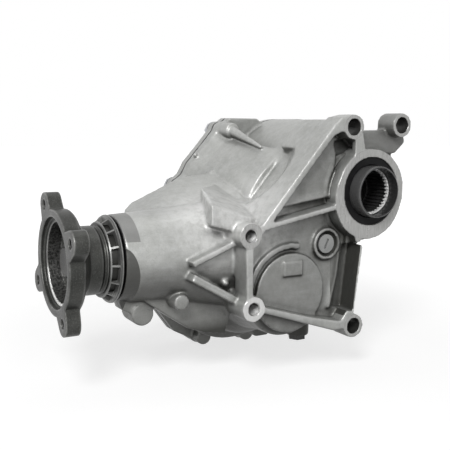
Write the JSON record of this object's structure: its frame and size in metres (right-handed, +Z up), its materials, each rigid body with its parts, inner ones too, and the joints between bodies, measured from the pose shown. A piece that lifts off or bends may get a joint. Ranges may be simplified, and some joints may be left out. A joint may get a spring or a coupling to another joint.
{
  "type": "power transfer unit",
  "caption": "Angle gearbox of an all-wheel-drive car: cast case with a mounting rim, hollow splined input shaft and a lugged output flange at a right angle.",
  "frame": {"origin": "centre of the input bore on the mounting face", "axes": "-Y is the way the mounting face looks, -X is the way the output flange looks, +Z is up"},
  "size_m": [0.3333, 0.1869, 0.2249],
  "materials": {
    "cast_aluminium": "as-cast, matte, machined bright on the bosses",
    "bearing_steel": "ground",
    "gear_steel": "ground and phosphated",
    "shaft_steel": "dark oiled steel",
    "flange_iron": "dark phosphate, machined face",
    "deflector_steel": "dull pressed steel",
    "bolt_steel": "zinc plated",
    "plug_alloy": "plain",
    "seal_rubber": "black, satin",
    "breather_plastic": "black"
  },
  "bodies": {
    "housing": {"main_case": "cast_aluminium", "rear_cover": "cast_aluminium", "cover_bolts": "bolt_steel", "locating_dowels": "bearing_steel", "fill_plug": "plug_alloy", "drain_plug": "bolt_steel", "breather": "breather_plastic", "input_seal": "seal_rubber", "rear_shaft_seal": "seal_rubber", "pinion_seal": "seal_rubber", "input_front_cup": "bearing_steel", "input_rear_cup": "bearing_steel", "ring_shaft_front_cup": "bearing_steel", "ring_shaft_rear_cup": "bearing_steel", "pinion_head_cup": "bearing_steel", "pinion_tail_cup": "bearing_steel"},
    "ring_shaft_set": {"ring_shaft": "gear_steel", "ring_gear": "gear_steel", "ring_gear_bolts": "bolt_steel", "driven_gear": "gear_steel", "ring_shaft_front_cone": "bearing_steel", "ring_shaft_rear_cone": "bearing_steel", "ring_shaft_rollers": "bearing_steel"},
    "input_set": {"input_shaft": "shaft_steel", "input_gear": "gear_steel", "input_front_cone": "bearing_steel", "input_rear_cone": "bearing_steel", "input_rollers": "bearing_steel"},
    "pinion_set": {"pinion_shaft": "gear_steel", "pinion_head_cone": "bearing_steel", "pinion_tail_cone": "bearing_steel", "pinion_rollers": "bearing_steel", "spacer_sleeve": "gear_steel", "output_flange": "flange_iron", "dust_deflector": "deflector_steel", "pinion_nut": "bolt_steel"}
  },
  "joints": [
    {"name": "ring_shaft_spin", "type": "hinge", "parent": "housing", "child": "ring_shaft_set", "pos_m": [-0.07384, 0.087, -0.08288], "axis": [0, 1, 0], "continuous": true},
    {"name": "input_spin", "type": "hinge", "parent": "housing", "child": "input_set", "pos_m": [0, 0.08, 0], "axis": [0, 1, 0], "continuous": true},
    {"name": "pinion_spin", "type": "hinge", "parent": "housing", "child": "pinion_set", "pos_m": [-0.18, 0.06, -0.051], "axis": [1, 0, 0], "continuous": true}
  ],
  "couplings": [
    {"joint": "input_spin", "follows": "ring_shaft_spin", "ratio": -1.0556},
    {"joint": "pinion_spin", "follows": "ring_shaft_spin", "ratio": 2.5833}
  ]
}
